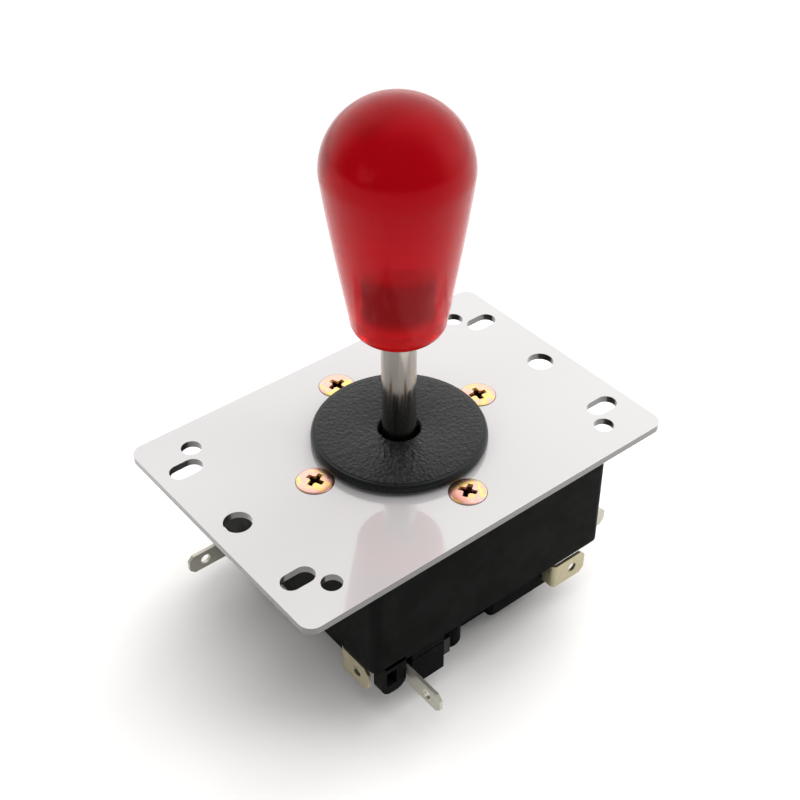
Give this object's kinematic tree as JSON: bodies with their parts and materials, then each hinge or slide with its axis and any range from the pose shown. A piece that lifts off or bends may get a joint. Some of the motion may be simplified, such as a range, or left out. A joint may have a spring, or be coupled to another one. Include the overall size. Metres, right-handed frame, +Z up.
{
  "type": "arcade joystick",
  "caption": "Arcade joystick with a bat-top handle on a slotted metal mounting plate, over a square housing with lever microswitches.",
  "frame": {"origin": "on the stick's axis, at the underside of the restrictor plate that the unit stands on", "axes": "+Z up along the stick, +X along the mounting plate's long side, +Y towards the plate's back long edge"},
  "size_m": [0.0952, 0.084, 0.1216],
  "materials": {
    "red_plastic": "gloss",
    "white_paint": "gloss",
    "steel": "satin",
    "zinc_yellow": "satin",
    "spring_steel": "satin",
    "brass": "satin",
    "tinned_brass": "satin",
    "silver_brass": "satin",
    "black_housing": "matte",
    "black_switch": "matte",
    "black_washer": "textured",
    "nylon": "matte",
    "red_plunger": "matte",
    "felt": "matte"
  },
  "bodies": {
    "base": {"mounting_plate": "white_paint", "plate_screw_front": "zinc_yellow", "plate_screw_right": "zinc_yellow", "plate_screw_back": "zinc_yellow", "plate_screw_left": "zinc_yellow", "square_nut_front": "steel", "square_nut_right": "steel", "square_nut_back": "steel", "square_nut_left": "steel", "housing": "black_housing", "restrictor_plate": "black_housing", "gate_screw_front": "steel", "gate_screw_right": "steel", "gate_screw_back": "steel", "gate_screw_left": "steel", "trunnion_pin_left": "steel", "trunnion_pin_right": "steel", "switch_case_front": "black_switch", "switch_cover_front": "black_switch", "terminal_common_front": "tinned_brass", "terminal_open_front": "silver_brass", "switch_case_right": "black_switch", "switch_cover_right": "black_switch", "terminal_common_right": "tinned_brass", "terminal_open_right": "silver_brass", "switch_case_back": "black_switch", "switch_cover_back": "black_switch", "terminal_common_back": "tinned_brass", "terminal_open_back": "silver_brass", "switch_case_left": "black_switch", "switch_cover_left": "black_switch", "terminal_common_left": "tinned_brass", "terminal_open_left": "silver_brass"},
    "gimbal": {"gimbal_ring": "nylon"},
    "stick": {"shaft": "steel", "bat_top_handle": "red_plastic", "handle_insert": "brass", "pivot_block": "nylon", "cross_pin": "steel", "spring_seat": "nylon", "return_spring": "spring_steel", "actuator": "nylon", "e_clip": "spring_steel"},
    "slip_ring": {"felt_slip_ring": "felt"},
    "washer": {"dust_washer": "black_washer"},
    "lever_front": {"switch_lever_front": "steel"},
    "plunger_front": {"switch_plunger_front": "red_plunger"},
    "lever_right": {"switch_lever_right": "steel"},
    "plunger_right": {"switch_plunger_right": "red_plunger"},
    "lever_back": {"switch_lever_back": "steel"},
    "plunger_back": {"switch_plunger_back": "red_plunger"},
    "lever_left": {"switch_lever_left": "steel"},
    "plunger_left": {"switch_plunger_left": "red_plunger"}
  },
  "joints": [
    {"name": "tilt_x", "type": "hinge", "parent": "base", "child": "gimbal", "pos_m": [0, 0, 0.028], "axis": [1, 0, 0], "range_deg": [-8, 8], "stiffness_Nm_per_rad": 0.9},
    {"name": "tilt_y", "type": "hinge", "parent": "gimbal", "child": "stick", "pos_m": [0, 0, 0.028], "axis": [0, 1, 0], "range_deg": [-8, 8], "stiffness_Nm_per_rad": 0.9},
    {"name": "ring_slide_y", "type": "slide", "parent": "base", "child": "slip_ring", "axis": [0, 1, 0], "range_m": [-0.0022, 0.0022]},
    {"name": "washer_slide_x", "type": "slide", "parent": "slip_ring", "child": "washer", "axis": [1, 0, 0], "range_m": [-0.0022, 0.0022]},
    {"name": "lever_front_hinge", "type": "hinge", "parent": "base", "child": "lever_front", "pos_m": [0.0296, -0.0123, 0.00975], "axis": [0, 0, 1], "range_deg": [-4.45, 4.45]},
    {"name": "plunger_front_slide", "type": "slide", "parent": "base", "child": "plunger_front", "axis": [0, -1, 0], "range_m": [-0.00151, 0.00151]},
    {"name": "lever_right_hinge", "type": "hinge", "parent": "base", "child": "lever_right", "pos_m": [0.0123, 0.0296, 0.00975], "axis": [0, 0, 1], "range_deg": [-4.45, 4.45]},
    {"name": "plunger_right_slide", "type": "slide", "parent": "base", "child": "plunger_right", "axis": [1, 0, 0], "range_m": [-0.00151, 0.00151]},
    {"name": "lever_back_hinge", "type": "hinge", "parent": "base", "child": "lever_back", "pos_m": [-0.0296, 0.0123, 0.00975], "axis": [0, 0, 1], "range_deg": [-4.45, 4.45]},
    {"name": "plunger_back_slide", "type": "slide", "parent": "base", "child": "plunger_back", "axis": [0, 1, 0], "range_m": [-0.00151, 0.00151]},
    {"name": "lever_left_hinge", "type": "hinge", "parent": "base", "child": "lever_left", "pos_m": [-0.0123, -0.0296, 0.00975], "axis": [0, 0, 1], "range_deg": [-4.45, 4.45]},
    {"name": "plunger_left_slide", "type": "slide", "parent": "base", "child": "plunger_left", "axis": [-1, 0, 0], "range_m": [-0.00151, 0.00151]}
  ],
  "couplings": [
    {"joint": "ring_slide_y", "follows": "tilt_x", "m_per_rad": -0.0156},
    {"joint": "washer_slide_x", "follows": "tilt_y", "m_per_rad": 0.0156},
    {"joint": "lever_front_hinge", "follows": "tilt_x", "ratio": -0.55},
    {"joint": "plunger_front_slide", "follows": "tilt_x", "m_per_rad": -0.0107},
    {"joint": "lever_right_hinge", "follows": "tilt_y", "ratio": -0.55},
    {"joint": "plunger_right_slide", "follows": "tilt_y", "m_per_rad": -0.0107},
    {"joint": "lever_back_hinge", "follows": "tilt_x", "ratio": 0.55},
    {"joint": "plunger_back_slide", "follows": "tilt_x", "m_per_rad": 0.0107},
    {"joint": "lever_left_hinge", "follows": "tilt_y", "ratio": 0.55},
    {"joint": "plunger_left_slide", "follows": "tilt_y", "m_per_rad": 0.0107}
  ]
}
